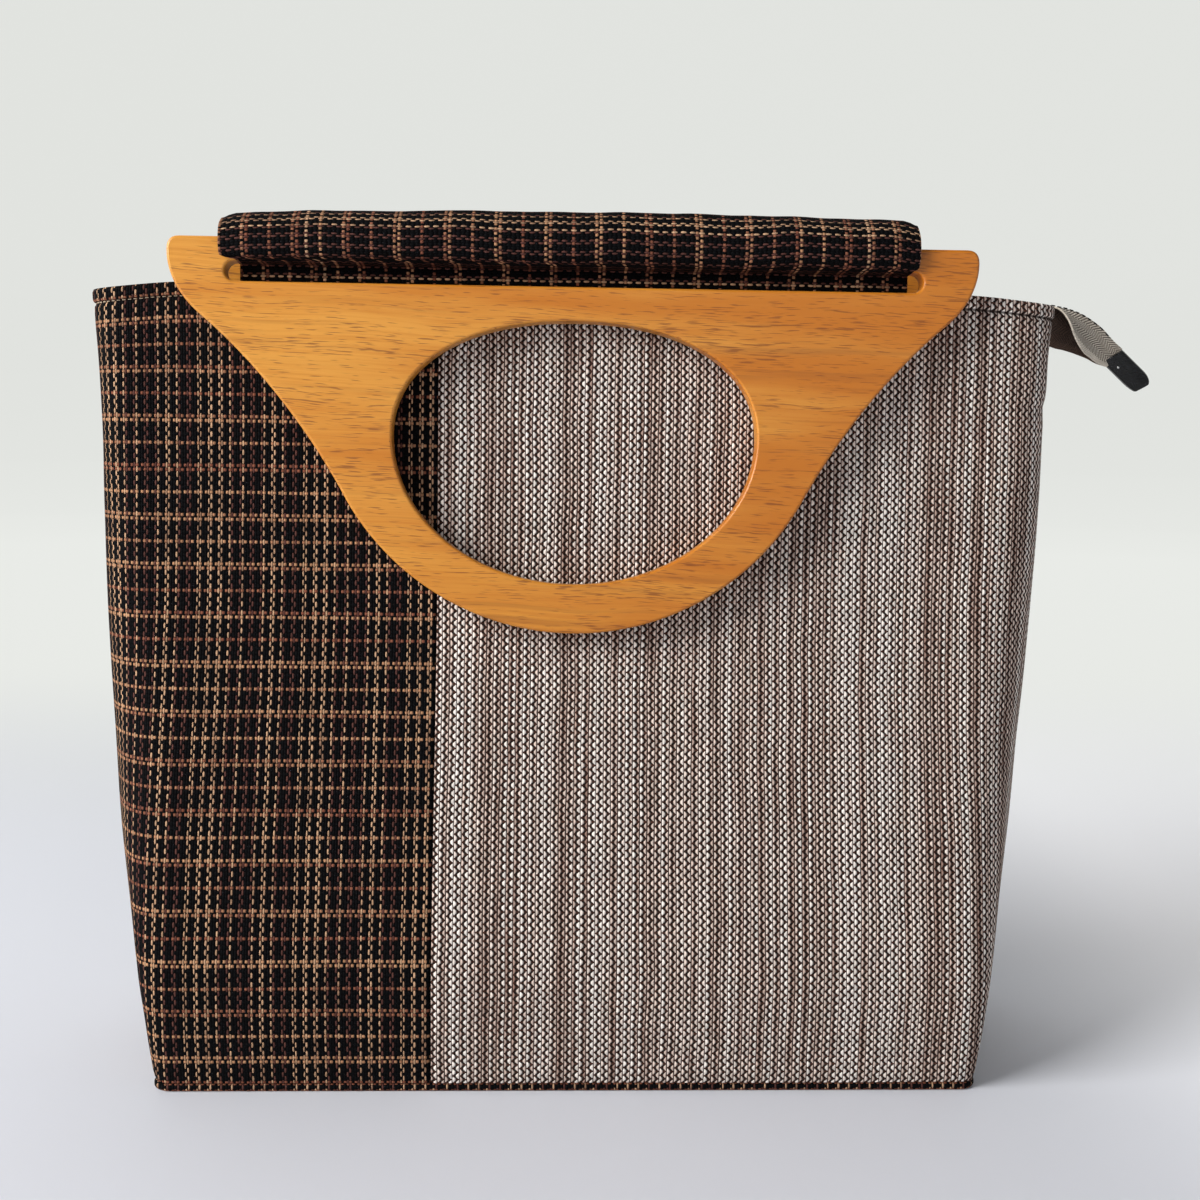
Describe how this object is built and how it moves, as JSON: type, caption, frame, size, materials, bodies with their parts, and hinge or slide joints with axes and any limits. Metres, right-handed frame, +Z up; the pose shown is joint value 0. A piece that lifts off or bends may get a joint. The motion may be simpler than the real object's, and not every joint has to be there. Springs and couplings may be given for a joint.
{
  "type": "wooden handle bag",
  "caption": "Cloth tote with a flat base, dark check and taupe weave panels, a zipped mouth and flat wooden cut-out handles held in cloth sleeves at the rim.",
  "frame": {"origin": "centre of the base, on the surface that the bag stands on", "axes": "+Z up, +X to the right seen from the front, +Y to the back"},
  "size_m": [0.4074, 0.1126, 0.3213],
  "materials": {
    "dark_check_cloth": "black plain weave with a tan and rust check",
    "taupe_cloth": "coarse plain weave, white on dark brown with uneven stripes",
    "handle_wood": "honey satin varnish, grain along the handle",
    "zip_tape": "beige herringbone tape",
    "zip_teeth": "dark nylon coil",
    "zip_metal": "dark gunmetal, satin",
    "black_plastic": "glossy black"
  },
  "bodies": {
    "root": {"base_panel": "dark_check_cloth", "front_dark_panel": "dark_check_cloth", "front_taupe_panel": "taupe_cloth", "back_dark_panel": "dark_check_cloth", "back_taupe_panel": "taupe_cloth", "zip_tape_front": "zip_tape", "zip_tape_back": "zip_tape", "zip_coil": "zip_teeth", "zip_slider": "zip_metal", "zip_tail": "zip_tape", "zip_end_cap": "black_plastic", "wooden_handle_front": "handle_wood", "handle_sleeve_front": "dark_check_cloth", "wooden_handle_back": "handle_wood", "handle_sleeve_back": "dark_check_cloth"}
  },
  "joints": []
}
